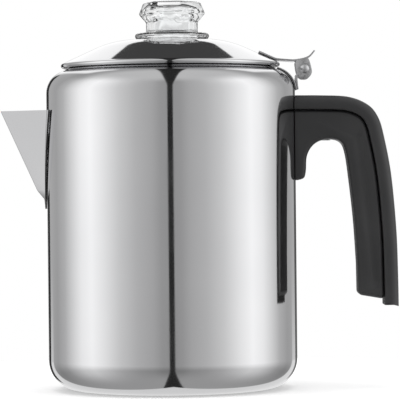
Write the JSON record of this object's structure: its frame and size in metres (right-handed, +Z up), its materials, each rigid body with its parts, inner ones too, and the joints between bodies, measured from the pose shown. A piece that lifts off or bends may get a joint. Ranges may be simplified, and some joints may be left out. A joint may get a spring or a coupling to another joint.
{
  "type": "coffee percolator",
  "caption": "Stovetop coffee percolator: polished steel pot with V spout, hinged domed lid, clear glass knob, black open handle, pump stem and perforated basket.",
  "frame": {"origin": "on the pot's axis, at the flat bottom that it stands on", "axes": "+Z up along the pot's axis, +X towards the handle and the lid's hinge, -X towards the spout"},
  "size_m": [0.2026, 0.127, 0.1974],
  "materials": {
    "polished_steel": "mirror-polished stainless steel",
    "hinge_steel": "satin stainless steel sheet",
    "inner_steel": "satin stainless steel",
    "black_plastic": "satin black moulded plastic",
    "clear_glass": "clear pressed glass"
  },
  "bodies": {
    "pot": {"pot_body": "polished_steel", "spout": "polished_steel", "handle_bracket": "hinge_steel", "handle_grip": "black_plastic", "handle_spine": "black_plastic", "handle_screw": "hinge_steel", "handle_washer": "hinge_steel", "handle_nut": "hinge_steel", "hinge_seat": "hinge_steel", "hinge_bracket": "hinge_steel"},
    "lid": {"lid_shell": "polished_steel", "hinge_leaf": "hinge_steel", "hinge_pin": "hinge_steel"},
    "knob": {"glass_knob": "clear_glass"},
    "stem": {"stem_tube": "inner_steel", "stem_base": "inner_steel", "stem_stop": "inner_steel"},
    "basket": {"basket_shell": "inner_steel", "basket_tube": "inner_steel"},
    "cover": {"basket_cover": "inner_steel"}
  },
  "joints": [
    {"name": "lid_hinge", "type": "hinge", "parent": "pot", "child": "lid", "pos_m": [0.0684, 0, 0.1624], "axis": [0, 1, 0], "range_deg": [0, 105]},
    {"name": "knob_twist", "type": "hinge", "parent": "lid", "child": "knob", "pos_m": [0.001, 0, 0.1781], "axis": [0, 0, 1], "range_deg": [0, 90]},
    {"name": "stem_lift", "type": "slide", "parent": "pot", "child": "stem", "axis": [0, 0, 1], "range_m": [0, 0.008]},
    {"name": "basket_lift", "type": "slide", "parent": "stem", "child": "basket", "axis": [0, 0, 1], "range_m": [0, 0.008]},
    {"name": "cover_lift", "type": "slide", "parent": "basket", "child": "cover", "axis": [0, 0, 1], "range_m": [0, 0.006]}
  ]
}
